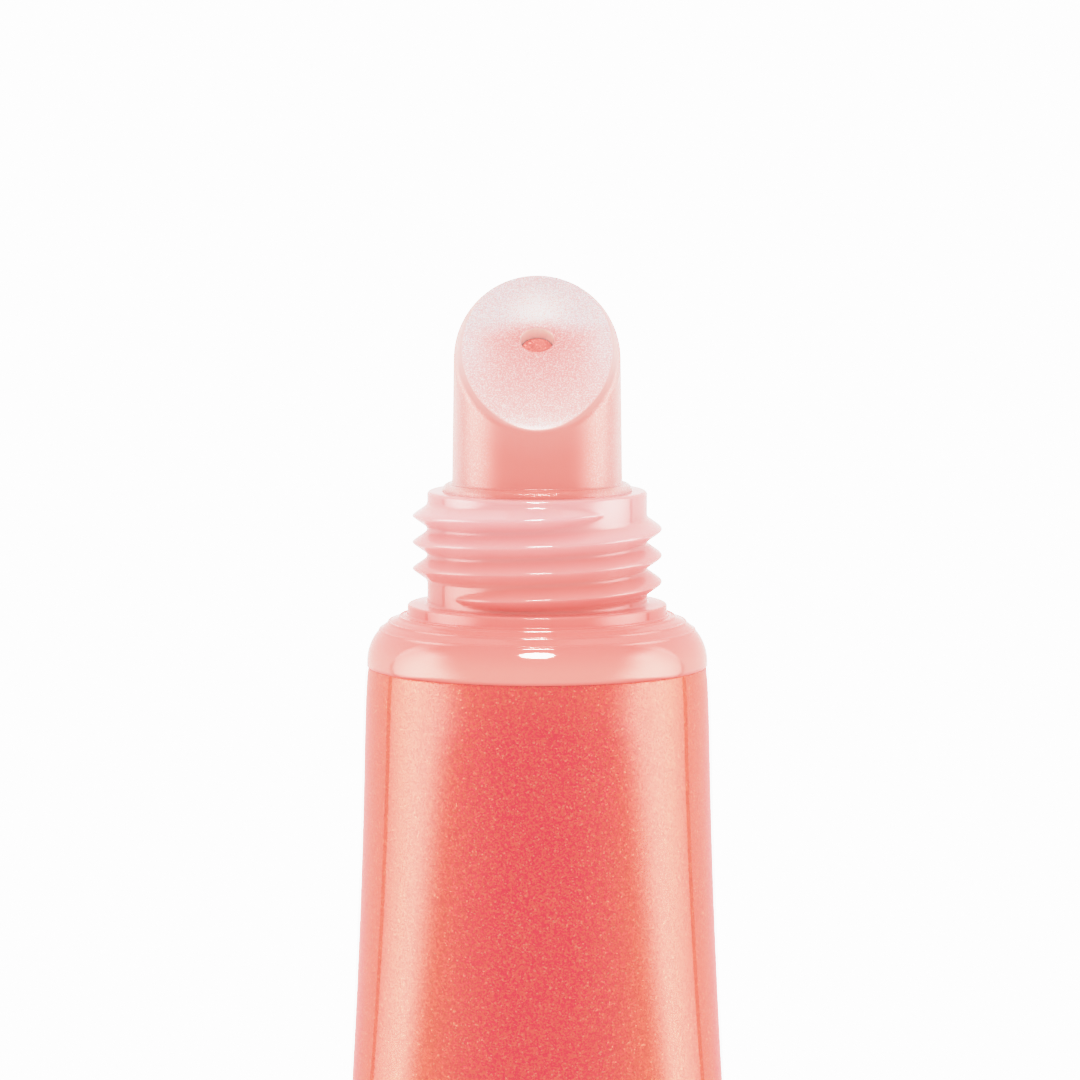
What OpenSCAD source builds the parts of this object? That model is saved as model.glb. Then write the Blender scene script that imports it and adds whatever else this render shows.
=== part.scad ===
// Squeeze tube of lip gloss with a slanted applicator tip and a screw cap.
// Millimetres. +Z up the tube, z = 0 at the welded end, front (slanted face) towards -Y.
// The cap is drawn lifted off the neck on its own axis, a whole number of turns up.

/* [Sleeve] */
// height of the seam between the clear sleeve and the moulded head
seam_z = 76; // [60:1:95]
// outer radius of the round part of the sleeve
sleeve_r = 9.65; // [8:0.05:12]
// wall thickness of the sleeve
sleeve_wall = 0.45; // [0.3:0.05:0.8]
// how far the sleeve's rim is drawn in at the seam
rim_draw = 0.18; // [0:0.01:0.3]
// height of the welded band across the end
weld_h = 5; // [3:0.5:8]
// thickness of the welded band
weld_t = 0.95; // [0.7:0.05:1.4]
// depth of the embossed ribs on the welded band
weld_rib = 0.07; // [0:0.01:0.12]
// how late the flattening sets in below the seam
flatten_power = 1.74; // [1:0.02:2.5]
// facets around the sleeve
facets = 48; // [24:4:64]

/* [Head] */
// radius of the shoulder's rounded corner
shoulder_arc = 2.6; // [1.5:0.1:4]
// height of the centre of that corner above the seam
shoulder_lift = 0.25; // [0:0.05:1]
// radius at which the shoulder's top goes flat
shoulder_flat_r = 6.85; // [6:0.05:8]
// wall thickness of the shoulder
head_wall = 1.15; // [0.8:0.05:1.8]
// radius of the ring above the shoulder
flange_r = 7.2; // [6.6:0.05:7.6]
// top of that ring above the seam
flange_top = 3.47; // [3:0.01:4.2]
// outer radius of the neck between its threads
neck_r = 6.1; // [5.5:0.05:7]
// top of the neck above the seam
neck_top = 9.74; // [8:0.01:12]
// radius of the neck's bore
neck_bore_r = 4.87; // [4:0.01:5.3]

/* [Thread] */
// rise of the thread for each turn
pitch = 1.465; // [1.2:0.005:2]
// radius over the thread's crest
crest_r = 6.92; // [6.5:0.01:7.1]
// half of the thread's width at its foot
foot_half = 0.6; // [0.4:0.01:0.7]
// turns of the neck's thread
neck_turns = 3.225; // [2:0.025:4]
// centre of the thread's first point above the seam
thread_start = 4.14; // [3.9:0.01:5]
// facets for each turn
turn_facets = 36; // [24:4:48]

/* [Tip] */
// radius of the tip at its foot
tip_r = 4.72; // [4:0.01:5]
// radius of the tip at its top
tip_top_r = 4.54; // [3.8:0.01:5]
// radius of the ring at the tip's foot
foot_r = 5.25; // [4.9:0.01:5.6]
// height of the ring at the tip's foot
foot_h = 0.43; // [0.3:0.01:0.8]
// lowest point of the slanted face above the seam
face_low = 13.5; // [12:0.1:16]
// slope of the slanted face from level
face_slope = 40.9; // [25:0.1:55]
// thickness of the wall under the slanted face
face_wall = 1.1; // [0.7:0.05:1.6]
// radius of the hollow inside the tip
tip_bore_r = 3.7; // [3:0.05:4]
// radius of the hole in the slanted face
orifice_r = 0.925; // [0.5:0.025:1.5]
// distance of the hole from the axis, towards the high side
orifice_y = 0.6; // [-1:0.1:2]
// depth of the plug that holds the tip in the neck
plug_depth = 3.2; // [2:0.1:5]

/* [Cap] */
// outer radius of the cap
cap_r = 9.4; // [8.6:0.05:10]
// height of the cap
cap_h = 24; // [22:0.5:32]
// gap between the cap's lower edge and the seam when closed
cap_gap = 2.65; // [2.4:0.05:3.2]
// wall thickness of the cap's outer shell
cap_wall = 1.2; // [0.9:0.05:1.6]
// turns by which the cap stands off its closed place
cap_turns_off = 25; // [0:1:40]

/* [Hidden] */
$fn = 96;
eps = 0.01;
flatten_exp = ln(2) / ln(PI / 2);
girth = pow(PI * sleeve_r / 2, flatten_exp);
weld_half_w = pow(girth - pow(weld_t / 2, flatten_exp), 1 / flatten_exp);
neck_top_z = seam_z + neck_top;
flange_top_z = seam_z + flange_top;
shoulder_top_z = seam_z + shoulder_lift + shoulder_arc;
thread_z0 = seam_z + thread_start;
thread_angle0 = 224;
face_low_z = seam_z + face_low;
cap_low_z = seam_z + cap_gap;
cap_top_z = cap_low_z + cap_h;
cap_lift = cap_turns_off * pitch;
cap_in_r = cap_r - cap_wall;
liner_bore_r = crest_r + 0.2;
liner_out_r = cap_in_r - 0.02;
liner_low_z = flange_top_z + 0.28;
chamber_r = 5.32;
chamber_top_z = seam_z + 22.5;
seal_low_z = neck_top_z + 0.05;
seal_h = 0.85;
seal_out_r = 6.9;
seal_in_r = 5.45;
cavity_low_z = weld_h + 1.6;

// ---- the sleeve's cross-section ----

// half width without the drawn-in rim
function free_half_w(z) = z <= weld_h ? weld_half_w :
    min(weld_half_w, sleeve_r + (weld_half_w - sleeve_r)
        * pow((seam_z - z) / (seam_z - weld_h), flatten_power));

// half depth that keeps the girth of a sleeve flattened to that width
function free_half_d(z) = z <= weld_h ? weld_t / 2 :
    pow(max(girth - pow(free_half_w(z), flatten_exp), 0.0001), 1 / flatten_exp);

function drawn_in(z) = rim_draw * exp(-(seam_z - z) / 1.3);

// 0 where the sleeve is round or oval, 1 where it is welded flat
function flatness(z) = min(1, max(0, (weld_h + 7 - z) / 7));

function squared(v, n) = sign(v) * pow(abs(v), 2 / n);

function ring(z, inset, rib = 0) = [
    for (i = [0 : facets - 1])
        let (t = 360 * i / facets, n = 2 + 4 * pow(flatness(z), 2))
        [(free_half_w(z) - drawn_in(z) - inset) * squared(cos(t), n),
         (free_half_d(z) - drawn_in(z) - inset - rib) * squared(sin(t), n), z]];

// closed surface through a list of rings that all have the same count of points
module skin(rings) {
    n = len(rings[0]);
    last = len(rings) - 1;
    points = [for (r = rings) for (p = r) p];
    sides = [for (k = [0 : last - 1]) for (i = [0 : n - 1])
        let (a = k * n + i, b = k * n + (i + 1) % n, c = a + n, d = b + n)
        for (f = [[a, d, b], [a, c, d]]) f];
    low = [[for (i = [0 : n - 1]) i]];
    high = [[for (i = [n - 1 : -1 : 0]) last * n + i]];
    polyhedron(points, concat(low, sides, high), convexity = 6);
}

weld_levels = [0, for (k = [1 : 2 : 9]) for (e = [0, 1]) weld_h * (k + e) / 11];
belly_levels = [
    weld_h + 0.01, weld_h + 0.5, weld_h + 1.6, weld_h + 3.2, weld_h + 5.2, weld_h + 8,
    weld_h + 12, weld_h + 17, weld_h + 23, weld_h + 29, weld_h + 35, weld_h + 41,
    weld_h + 47, weld_h + 52, weld_h + 57, seam_z - 10, seam_z - 6.5, seam_z - 4,
    seam_z - 2.4, seam_z - 1.4, seam_z - 0.7, seam_z];

module tube_sleeve() {
    outer = concat(
        [for (k = [0 : len(weld_levels) - 1]) ring(weld_levels[k], 0, weld_rib * (k % 2))],
        [for (z = belly_levels) ring(z, 0)]);
    inner = [for (k = [len(belly_levels) - 1 : -1 : 2]) ring(belly_levels[k], sleeve_wall)];
    color([0.95, 0.93, 0.92, 0.35])
        skin(concat(outer, inner));
}

// ---- the moulded head ----

module shoulder_profile() {
    // outer wall: flat top, rounded corner, short upright rim
    difference() {
        union() {
            translate([0, seam_z])
                square([shoulder_flat_r, shoulder_lift + shoulder_arc]);
            translate([0, seam_z])
                square([shoulder_flat_r + shoulder_arc, shoulder_lift]);
            intersection() {
                translate([shoulder_flat_r, seam_z + shoulder_lift])
                    circle(r = shoulder_arc);
                translate([shoulder_flat_r, seam_z + shoulder_lift])
                    square(shoulder_arc + 1);
            }
            // short spigot inside the sleeve
            translate([0, seam_z - 0.4])
                square([sleeve_r - rim_draw - sleeve_wall - 0.05, 0.5]);
        }
        // hollow under the shoulder
        translate([-1, seam_z - 1])
            square([shoulder_flat_r + 1, shoulder_lift + shoulder_arc - head_wall + 1]);
        translate([-1, seam_z - 1])
            square([shoulder_flat_r + shoulder_arc - head_wall + 1, shoulder_lift + 1]);
        translate([shoulder_flat_r, seam_z + shoulder_lift])
            circle(r = shoulder_arc - head_wall);
    }
}

module neck_profile() {
    edge = 0.22;
    translate([neck_bore_r, seam_z + shoulder_lift + shoulder_arc - head_wall])
        square([flange_r - neck_bore_r - edge,
                flange_top_z - seam_z - shoulder_lift - shoulder_arc + head_wall]);
    translate([neck_bore_r, shoulder_top_z - 0.2])
        square([flange_r - neck_bore_r, flange_top_z - shoulder_top_z + 0.2 - edge]);
    translate([flange_r - edge, flange_top_z - edge])
        circle(r = edge);
    translate([neck_bore_r, flange_top_z - 0.1])
        square([neck_r - neck_bore_r, neck_top_z - flange_top_z + 0.1 - edge]);
    translate([neck_bore_r, flange_top_z])
        square([neck_r - neck_bore_r - edge, neck_top_z - flange_top_z]);
    translate([neck_r - edge, neck_top_z - edge])
        circle(r = edge);
}

function ease(v) = let (c = min(1, max(0, v))) sin(90 * c);

// one turn-by-turn ridge: foot radius, crest radius, half widths at both, and its ends
module helix_ridge(foot, crest, half_foot, half_crest, z0, angle0, turns, run_in, run_out) {
    steps = ceil(turns * turn_facets);
    blunt = sign(crest - foot) * 0.14;
    rings = [for (k = [0 : steps])
        let (turned = 360 * turns * k / steps,
             a = angle0 + turned,
             z = z0 + pitch * turned / 360,
             grown = min(ease((turned + 1) / run_in), ease((360 * turns - turned + 1) / run_out)),
             c = foot + (crest - foot) * grown,
             wide = half_foot * (0.45 + 0.55 * grown),
             thin = half_crest * grown + 0.01,
             section = [[foot, -wide], [c - blunt * grown, -thin], [c, 0],
                        [c - blunt * grown, thin], [foot, wide]])
        [for (p = section) [p[0] * cos(a), p[0] * sin(a), z + p[1]]]];
    skin(crest > foot ? [for (r = rings) [for (i = [4 : -1 : 0]) r[i]]] : rings);
}

module tube_head() {
    color([0.96, 0.74, 0.71, 0.9])
        union() {
            rotate_extrude() {
                difference() {
                    shoulder_profile();
                    translate([-1, seam_z - 1])
                        square([neck_bore_r + 1, 20]);
                }
                neck_profile();
            }
            helix_ridge(neck_r - 0.25, crest_r, foot_half + 0.1, 0.15, thread_z0,
                        thread_angle0, neck_turns, 42, 42);
        }
}

// ---- the slanted tip ----

// keeps what lies below the slanted plane, let down by an offset along its normal
module under_slope(down) {
    difference() {
        children();
        translate([0, -tip_r, face_low_z])
            rotate([face_slope, 0, 0])
                translate([-20, -20, -down])
                    cube([40, 60, 40]);
    }
}

// a rod along the slanted face's normal, centred on the hole
module along_orifice(r, low, high) {
    translate([0, orifice_y, face_low_z + (orifice_y + tip_r) * tan(face_slope)])
        rotate([face_slope, 0, 0])
            translate([0, 0, low])
                cylinder(h = high - low, r = r);
}

module applicator_tip() {
    color([0.98, 0.86, 0.85, 0.85])
        difference() {
            under_slope(0)
                union() {
                    translate([0, 0, neck_top_z])
                        cylinder(h = 12.6, r1 = tip_r, r2 = tip_top_r);
                    translate([0, 0, neck_top_z])
                        cylinder(h = foot_h - 0.12, r = foot_r);
                    translate([0, 0, neck_top_z])
                        cylinder(h = foot_h, r = foot_r - 0.12);
                    translate([0, 0, neck_top_z - plug_depth])
                        cylinder(h = plug_depth + 0.1, r = neck_bore_r - 0.01);
                }
            under_slope(face_wall)
                translate([0, 0, neck_top_z - plug_depth - 1])
                    cylinder(h = 14.5, r = tip_bore_r);
            along_orifice(orifice_r, -face_wall - 0.6, 1);
        }
}

// ---- what fills the tube ----

module gloss_fill() {
    gap = 0.04;
    inset = sleeve_wall + gap;
    top = len(belly_levels) - 3;
    color([0.9, 0.38, 0.36])
        union() {
            skin(concat(
                [for (k = [2 : top]) ring(belly_levels[k] + (k == 2 ? 0.08 : 0), inset)],
                [ring(seam_z - 0.45, inset)]));
            translate([0, 0, seam_z - 3])
                cylinder(h = 3 + shoulder_lift + shoulder_arc - head_wall - gap,
                         r = shoulder_flat_r);
            translate([0, 0, seam_z - 3])
                cylinder(h = neck_top - plug_depth + 3 - gap, r = neck_bore_r - gap);
            under_slope(face_wall + gap)
                translate([0, 0, seam_z])
                    cylinder(h = 22, r = tip_bore_r - gap);
            along_orifice(orifice_r - gap, -face_wall - 0.5, -0.3);
        }
}

// ---- the cap ----

module cap_shell_profile() {
    edge = 0.9;
    difference() {
        union() {
            translate([0, cap_low_z])
                square([cap_r, cap_h - edge]);
            translate([0, cap_low_z])
                square([cap_r - edge, cap_h]);
            translate([cap_r - edge, cap_top_z - edge])
                circle(r = edge);
        }
        translate([-1, cap_low_z - 1])
            square([cap_in_r + 1, cap_h - cap_wall + 1]);
    }
}

module cap_shell() {
    color([0.93, 0.6, 0.56])
        translate([0, 0, cap_lift])
            rotate_extrude()
                difference() {
                    cap_shell_profile();
                    translate([-20, 0])
                        square([20, 200]);
                }
}

module cap_liner_profile(skirt_top) {
    difference() {
        union() {
            translate([0, liner_low_z])
                square([liner_out_r, skirt_top - liner_low_z]);
            translate([0, liner_low_z])
                square([chamber_r + 0.95, chamber_top_z + 1 - liner_low_z]);
        }
        // bore around the neck's thread
        translate([-1, liner_low_z - 1])
            square([liner_bore_r + 1, seal_low_z - 0.3 - liner_low_z + 1]);
        // bead that keeps the seal in
        translate([-1, liner_low_z])
            square([seal_out_r - 0.15 + 1, seal_low_z - liner_low_z]);
        // seat of the seal
        translate([-1, seal_low_z - 0.06])
            square([seal_out_r + 0.08 + 1, seal_h + 0.11]);
        // chamber over the tip
        translate([-1, seal_low_z])
            square([chamber_r + 1, chamber_top_z - seal_low_z]);
        translate([-20, 0])
            square([20, 200]);
    }
}

module cap_liner() {
    skirt_top = seal_low_z + seal_h + 1.2;
    color([0.97, 0.95, 0.94])
        translate([0, 0, cap_lift])
            union() {
                rotate_extrude()
                    cap_liner_profile(skirt_top);
                // stiffening ribs between the chamber and the shell
                for (a = [0 : 60 : 300])
                    rotate(a)
                        translate([chamber_r + 0.5, -0.4, skirt_top - 0.5])
                            cube([liner_out_r - chamber_r - 0.55, 0.8,
                                  chamber_top_z - skirt_top + 1]);
                helix_ridge(liner_bore_r + 0.25, crest_r - 0.45, 0.55, 0.26,
                            thread_z0 + pitch / 2, thread_angle0, 2.2, 40, 40);
            }
}

module cap_seal() {
    color([0.93, 0.93, 0.92])
        translate([0, 0, cap_lift + seal_low_z])
            difference() {
                cylinder(h = seal_h, r = seal_out_r);
                translate([0, 0, -1])
                    cylinder(h = seal_h + 2, r = seal_in_r);
            }
}

tube_sleeve();
tube_head();
applicator_tip();
gloss_fill();
cap_shell();
cap_liner();
cap_seal();
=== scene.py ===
"""Looks of a lip gloss squeeze tube: clear sleeve, milky head, slanted tip, shimmering fill and screw cap."""

import logging
import math
from collections.abc import Callable, Iterator
from contextlib import contextmanager
from dataclasses import dataclass, field
from enum import Enum
from typing import Any

import bmesh
import bpy
from mathutils import Matrix, Vector


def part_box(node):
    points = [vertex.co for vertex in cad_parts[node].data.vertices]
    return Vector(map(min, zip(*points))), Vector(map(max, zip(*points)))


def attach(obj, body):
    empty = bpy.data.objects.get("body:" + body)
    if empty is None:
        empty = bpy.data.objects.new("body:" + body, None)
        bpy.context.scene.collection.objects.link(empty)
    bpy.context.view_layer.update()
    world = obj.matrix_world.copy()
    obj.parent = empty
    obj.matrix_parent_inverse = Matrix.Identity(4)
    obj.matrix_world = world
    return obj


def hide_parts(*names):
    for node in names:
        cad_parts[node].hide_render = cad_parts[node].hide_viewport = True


logging.basicConfig(level=logging.INFO, format="%(message)s")
log = logging.getLogger("lip_gloss_tube")

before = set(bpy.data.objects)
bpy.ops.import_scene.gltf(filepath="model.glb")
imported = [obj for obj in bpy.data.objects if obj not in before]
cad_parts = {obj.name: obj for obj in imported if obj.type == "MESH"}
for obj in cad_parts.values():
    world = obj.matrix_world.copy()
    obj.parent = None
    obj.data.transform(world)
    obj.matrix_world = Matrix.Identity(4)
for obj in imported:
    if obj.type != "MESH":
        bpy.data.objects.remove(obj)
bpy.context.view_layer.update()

MM = 0.001
WELD = 0.002 * MM
AROUND = 144
Point = tuple[float, float]
Colour = tuple[float, float, float]


class Body(Enum):
    """The rigid bodies that pieces ride on."""

    TUBE = "tube"
    SEAL = "seal"
    CAP = "cap"


class Slot(Enum):
    """The material slots of the record."""

    SLEEVE = "clear_sleeve"
    HEAD = "milky_head"
    TIP = "frosted_tip"
    GLOSS = "gloss"
    CAP = "cap"
    LINER = "liner"
    SEAL = "seal"


class Blend(Enum):
    """What a boolean does with the other piece."""

    ADD = "UNION"
    CUT = "DIFFERENCE"


# ---------------------------------------------------------------- shader maths


class Value:
    """A number on a socket, usable in Python expressions."""

    def __init__(self, shader: "Shader", socket: Any) -> None:
        """Wraps a socket of the shader."""
        self.shader, self.socket = shader, socket

    def _math(self, operation: str, *values: Any) -> "Value":
        """Adds a Math node for the operation."""
        node = self.shader.node("ShaderNodeMath", {"operation": operation}, dict(enumerate(values)))
        return Value(self.shader, node.outputs[0])

    def __add__(self, other: Any) -> "Value":
        """Sum."""
        return self._math("ADD", self, other)

    __radd__ = __add__

    def __sub__(self, other: Any) -> "Value":
        """Difference."""
        return self._math("SUBTRACT", self, other)

    def __rsub__(self, other: Any) -> "Value":
        """Difference from a number."""
        return self._math("SUBTRACT", other, self)

    def __mul__(self, other: Any) -> "Value":
        """Product."""
        return self._math("MULTIPLY", self, other)

    __rmul__ = __mul__

    def __truediv__(self, other: Any) -> "Value":
        """Quotient."""
        return self._math("DIVIDE", self, other)

    def __pow__(self, other: Any) -> "Value":
        """Power."""
        return self._math("POWER", self, other)

    def root(self) -> "Value":
        """Square root."""
        return self._math("SQRT", self)

    def size(self) -> "Value":
        """Absolute value."""
        return self._math("ABSOLUTE", self)

    def low(self, other: Any) -> "Value":
        """The smaller of the two."""
        return self._math("MINIMUM", self, other)

    def high(self, other: Any) -> "Value":
        """The larger of the two."""
        return self._math("MAXIMUM", self, other)

    def step(self, start: float, end: float) -> "Value":
        """A smooth step from 0 at start to 1 at end.

        Args:
            start: the value where the step begins.
            end: the value where it is done.

        Returns:
            The step's value.
        """
        node = self.shader.node(
            "ShaderNodeMapRange",
            {"interpolation_type": "SMOOTHSTEP", "clamp": True},
            {"Value": self, "From Min": start, "From Max": end, "To Min": 0.0, "To Max": 1.0},
        )
        return Value(self.shader, node.outputs[0])


class Shader:
    """A node tree that is built by expressions."""

    def __init__(self, tree: Any) -> None:
        """Starts an empty tree."""
        self.tree = tree
        tree.nodes.clear()

    def node(self, kind: str, settings: dict[str, Any] | None = None, inputs: dict[Any, Any] | None = None) -> Any:
        """Adds a node.

        Args:
            kind: the node's type.
            settings: attributes that are set first; "stops" holds a ramp's (place, colour) pairs.
            inputs: values or links by socket name or number.

        Returns:
            The node.
        """
        made = self.tree.nodes.new(kind)
        for name, value in (settings or {}).items():
            if name == "stops":
                self._set_stops(made.color_ramp, value)
            else:
                setattr(made, name, value)
        for name, value in (inputs or {}).items():
            socket = made.inputs[name]
            source = getattr(value, "socket", value)
            if isinstance(source, bpy.types.NodeSocket):
                self.tree.links.new(source, socket)
            elif isinstance(source, tuple) and len(source) == 3 and socket.type == "RGBA":
                socket.default_value = (*source, 1.0)
            else:
                socket.default_value = source
        return made

    @staticmethod
    def _set_stops(ramp: Any, stops: list[tuple[float, Colour]]) -> None:
        """Puts the stops on a colour ramp.

        Args:
            ramp: the colour ramp.
            stops: (place, colour) pairs, in order.
        """
        while len(ramp.elements) < len(stops):
            ramp.elements.new(1.0)
        for element, (place, colour) in zip(ramp.elements, stops):
            element.position = place
            element.color = (*colour, 1.0)

    def parts(self, vector: Any) -> tuple[Value, Value, Value]:
        """Splits a vector socket into three values."""
        split = self.node("ShaderNodeSeparateXYZ", inputs={0: vector})
        return tuple(Value(self, split.outputs[k]) for k in range(3))

    def place(self) -> Any:
        """The Object coordinate's socket."""
        return self.node("ShaderNodeTexCoord").outputs["Object"]

    def mix(self, share: Any, first: Any, second: Any) -> Any:
        """Mixes two colours and gives the colour socket."""
        made = self.node("ShaderNodeMix", {"data_type": "RGBA"}, {0: share, 6: first, 7: second})
        return made.outputs[2]

    def vector(self, operation: str, first: Any, second: Any, scale: Any = None) -> Any:
        """Vector Math on two vectors or a vector and a scale; gives the first output.

        Args:
            operation: the node's operation.
            first: a vector.
            second: another, or none.
            scale: the number of a scale operation.

        Returns:
            The vector's socket.
        """
        inputs = {0: first} if second is None else {0: first, 1: second}
        if scale is not None:
            inputs["Scale"] = scale
        return self.node("ShaderNodeVectorMath", {"operation": operation}, inputs).outputs[0]

    def noise(self, scale: float, detail: float = 2.0, roughness: float = 0.5) -> Value:
        """Noise over Object coordinates; scale is in waves a metre.

        Args:
            scale: waves a metre.
            detail: octaves.
            roughness: how strong the finer octaves are.

        Returns:
            The noise, from 0 to 1.
        """
        inputs = {"Vector": self.place(), "Scale": scale, "Detail": detail, "Roughness": roughness}
        made = self.node("ShaderNodeTexNoise", inputs=inputs)
        return Value(self, made.outputs["Fac"])

    def grains(self, grain: float) -> tuple[Value, Any]:
        """Random cells of a given size in metres: a random number and a random colour for each.

        Args:
            grain: size of a cell in metres.

        Returns:
            The number, and the colour's socket.
        """
        made = self.node("ShaderNodeTexVoronoi", inputs={"Vector": self.place(), "Scale": 1.0 / grain})
        colour = made.outputs["Color"]
        return self.parts(colour)[0], colour

    def ramp(self, share: Value, stops: list[tuple[float, Colour]]) -> Any:
        """A colour ramp's colour."""
        return self.node("ShaderNodeValToRGB", {"stops": stops}, {0: share}).outputs[0]

    def bump(self, height: Value, strength: float, distance: float, normal: Any = None) -> Any:
        """A Bump node's normal.

        Args:
            height: the relief.
            strength: how much of it shows, a number or a value.
            distance: its height in metres.
            normal: a normal to start from.

        Returns:
            The normal's socket.
        """
        inputs = {"Height": height, "Strength": strength, "Distance": distance}
        if normal is not None:
            inputs["Normal"] = normal
        return self.node("ShaderNodeBump", inputs=inputs).outputs[0]

    def flaked_normal(self, colour: Any, tilt: float) -> Any:
        """The surface normal, tipped by a random colour.

        Args:
            colour: a random colour for each flake.
            tilt: how far a flake may lean.

        Returns:
            The normal's socket.
        """
        shuffled = self.vector("FRACTION", self.vector("SCALE", colour, None, 17.3), None)
        tipped = self.vector("SUBTRACT", shuffled, (0.5, 0.5, 0.5))
        scaled = self.vector("SCALE", tipped, None, tilt)
        normal = self.node("ShaderNodeNewGeometry").outputs["Normal"]
        return self.vector("NORMALIZE", self.vector("ADD", normal, scaled), None)


# ---------------------------------------------------------------- finishes


@dataclass(frozen=True)
class Finish:
    """A finish: what is the same all over it sits on the shader's own sockets."""

    name: str = "finish"

    def build(self) -> bpy.types.Material:
        """Makes the material.

        Returns:
            The material.
        """
        material = bpy.data.materials.new(self.name)
        material.use_nodes = True
        shader = Shader(material.node_tree)
        shader.node("ShaderNodeOutputMaterial", inputs={"Surface": self.surface(shader)})
        return material

    def surface(self, shader: Shader) -> Any:
        """The socket of the shader that covers the piece."""
        return shader.node("ShaderNodeBsdfPrincipled", inputs=self.sockets(shader)).outputs[0]

    def sockets(self, shader: Shader) -> dict[str, Any]:
        """The Principled sockets of this finish."""
        return {}


@dataclass(frozen=True)
class ClearFilm(Finish):
    """Clear, glossy film of the sleeve, hazy where it is welded."""

    name: str = "clear_sleeve_film"
    clear: Colour = (1.0, 1.0, 1.0)
    haze: Colour = (0.9, 0.66, 0.62)
    haze_cover: float = 0.6
    weld: float = 5.0 * MM
    ior: float = 1.5

    def sockets(self, shader: Shader) -> dict[str, Any]:
        """A mirror as strong as glass reflects, see-through otherwise, with a milky weld.

        Args:
            shader: the tree that the nodes go into.

        Returns:
            Values and links by the name of the socket.
        """
        _, _, z = shader.parts(shader.place())
        glass = Value(shader, shader.node("ShaderNodeFresnel", inputs={"IOR": self.ior}).outputs[0])
        inside = Value(shader, shader.node("ShaderNodeNewGeometry").outputs["Backfacing"])
        welded = 1.0 - z.step(self.weld - 0.2 * MM, self.weld + 1.2 * MM)
        shine = glass * (1.0 - inside)
        return {
            "Base Color": shader.mix(welded, self.clear, self.haze),
            "Metallic": 1.0 - 0.85 * welded,
            "Roughness": 0.035 + 0.02 * shader.noise(260.0).step(0.45, 0.75) + 0.2 * welded,
            "Alpha": shine + (1.0 - shine) * welded * self.haze_cover,
        }


@dataclass(frozen=True)
class ShimmerGloss(Finish):
    """Wet coral gloss full of fine gold and pearl flakes, with painted light: paler and more orange towards both
    sides.
    """

    name: str = "shimmer_gloss"
    coral: Colour = (0.98, 0.086, 0.13)
    # The warm colour, orange, peach and edge give the painted side light of the ramp in sockets; orange and peach
    # also tint the drift, the top by the seam and the pearl dust.
    warm_side_light: Colour = (0.98, 0.13, 0.145)
    orange: Colour = (0.98, 0.218, 0.157)
    peach: Colour = (0.98, 0.255, 0.162)
    edge: Colour = (0.98, 0.225, 0.157)
    gold: Colour = (1.0, 0.54, 0.38)
    milky: Colour = (0.97, 0.4, 0.36)
    tip_level: float = 87.0 * MM
    grain: float = 0.081 * MM
    seam: float = 76.0 * MM
    half_top: float = 9.65 * MM
    half_spread: float = 5.46 * MM
    spread_power: float = 1.74
    dust: float = 0.72
    flakes: float = 0.45
    tilt: float = 0.6

    def sockets(self, shader: Shader) -> dict[str, Any]:
        """Coral in the middle and orange to both edges by painted light, with flakes that tip the normal.

        Args:
            shader: the tree that the nodes go into.

        Returns:
            Values and links by the name of the socket.
        """
        number, colour = shader.grains(self.grain)
        x, _, z = shader.parts(shader.place())
        half = self.half_top + self.half_spread * (1.0 - z / self.seam).high(0.0) ** self.spread_power
        across = x.size() / half
        # Painted light: the ramp across the width runs from coral in the middle through warm, orange and peach to the
        # edge colour at both sides, standing in for light through and off the gloss's sides; depth holds this ramp,
        # not a thickness.
        stops = [(0.0, self.coral), (0.18, self.coral), (0.38, self.warm_side_light), (0.58, self.orange), (0.76, self.peach)]
        stops += [(0.86, self.edge), (0.94, self.edge), (0.985, self.warm_side_light)]
        depth = shader.ramp(across, stops)
        drift = shader.noise(90.0, 3.0).step(0.3, 0.7)
        ground = shader.mix(drift * 0.12, depth, self.orange)
        ground = shader.mix(z.step(self.seam - 3.5 * MM, self.seam) * 0.3, ground, self.peach)
        dusty = shader.mix(number.step(0.15, 0.95) * self.dust, ground, self.peach)
        flake = number.step(0.93, 0.99)
        shining = shader.mix(flake * self.flakes, dusty, self.gold)
        in_tip = z.step(self.tip_level, self.tip_level + 4.0 * MM)
        return {
            "Base Color": shader.mix(in_tip * 0.85, shining, self.milky),
            "Metallic": 0.15 + 0.08 * flake,
            "Roughness": 0.42 + 0.05 * flake,
            "Specular IOR Level": 0.05,
            "Normal": shader.flaked_normal(colour, self.tilt),
        }


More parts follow.
